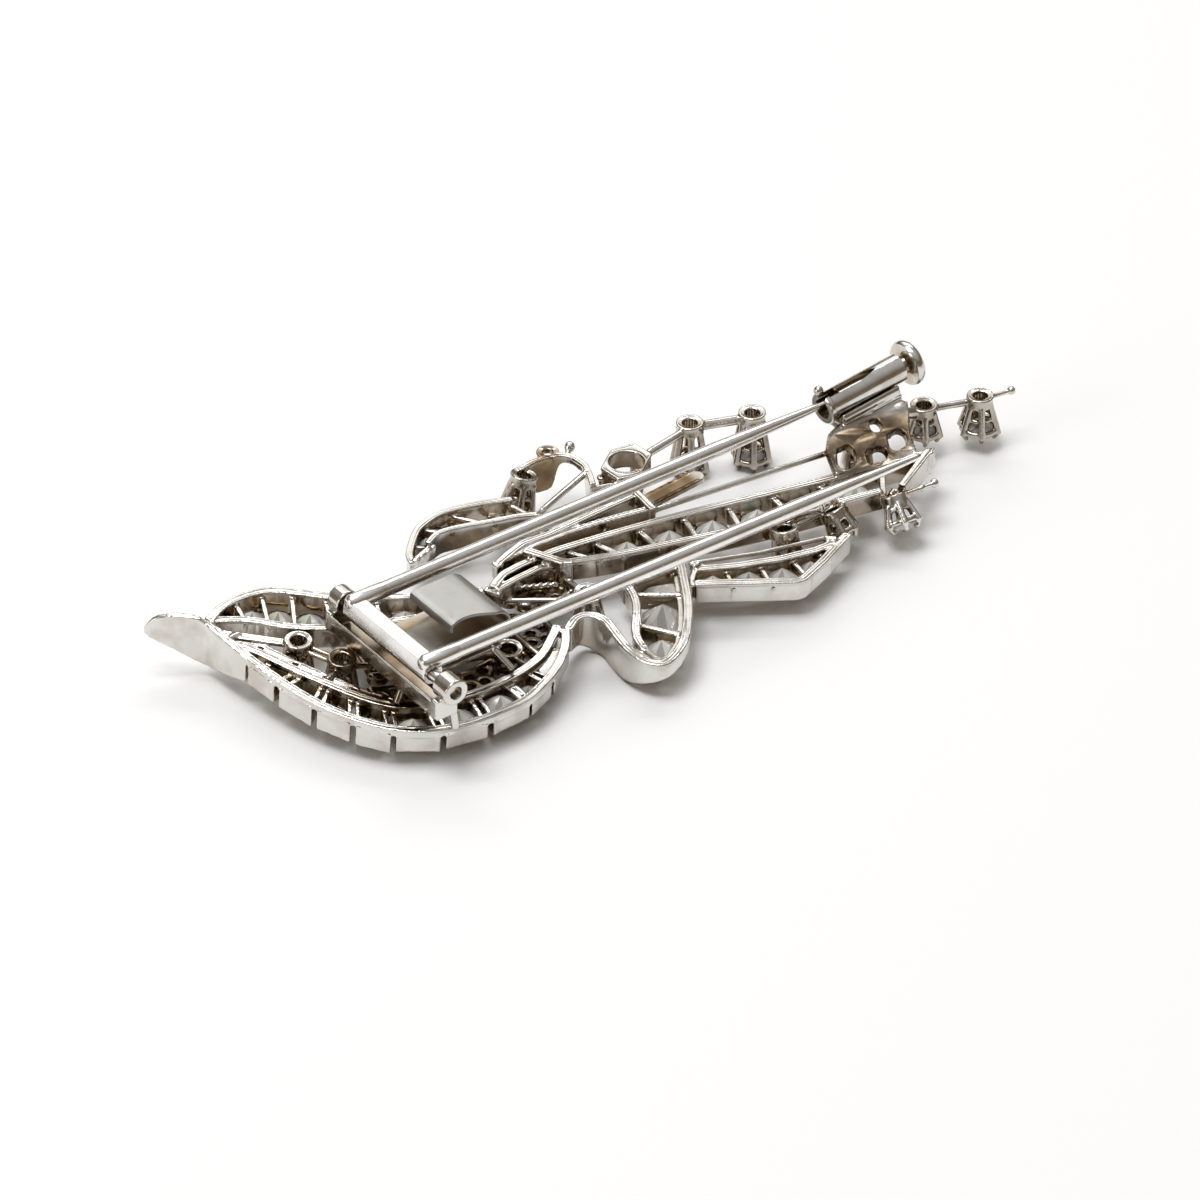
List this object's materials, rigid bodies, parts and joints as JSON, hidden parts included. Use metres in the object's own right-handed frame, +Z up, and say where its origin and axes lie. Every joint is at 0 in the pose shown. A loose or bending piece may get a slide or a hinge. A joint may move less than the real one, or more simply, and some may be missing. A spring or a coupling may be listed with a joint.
{
  "type": "double pin brooch",
  "caption": "Spray brooch lying face down, with two parallel hinged pin stems, a leaf spring and a sliding tube catch",
  "frame": {"origin": "middle of the bounding box in X and Y, on the surface that it lies on", "axes": "X runs along the pin stems from the hinge to the catch, Y across to the far side, Z up from the surface"},
  "size_m": [0.073, 0.0269, 0.0095],
  "materials": {
    "white_gold": "polished white gold with warm tarnish inside",
    "pin_wire": "drawn wire, lightly brushed",
    "steel": "dull",
    "diamond": "cut and polished"
  },
  "bodies": {
    "brooch": {"leaf_setting": "white_gold", "near_loop": "white_gold", "stem_setting": "white_gold", "far_loop": "white_gold", "hinge_base": "white_gold", "leaf_spring": "white_gold", "catch_tube": "white_gold", "hinge_axle": "steel", "leaf_near_stones": "diamond", "leaf_far_stones": "diamond", "vein_stones": "diamond", "loop_stones": "diamond", "lower_stones": "diamond", "stem_stones": "diamond", "far_loop_stones": "diamond", "spray_stone_1": "diamond", "spray_stone_2": "diamond", "spray_stone_3": "diamond", "spray_stone_4": "diamond", "spray_stone_5": "diamond", "spray_stone_6": "diamond", "spray_stone_7": "diamond", "spray_stone_8": "diamond", "spray_stone_9": "diamond", "spray_stone_10": "diamond", "spray_stone_11": "diamond"},
    "pins": {"pin_stems": "pin_wire"},
    "slider": {"catch_slider": "white_gold"}
  },
  "joints": [
    {"name": "pin_hinge", "type": "hinge", "parent": "brooch", "child": "pins", "pos_m": [-0.0247, -0.0032, 0.0072], "axis": [0, -1, 0], "range_deg": [0, 85]},
    {"name": "catch_slide", "type": "slide", "parent": "brooch", "child": "slider", "axis": [0.9959, 0.0261, 0.0872], "range_m": [-0.0004, 0.0035]}
  ]
}
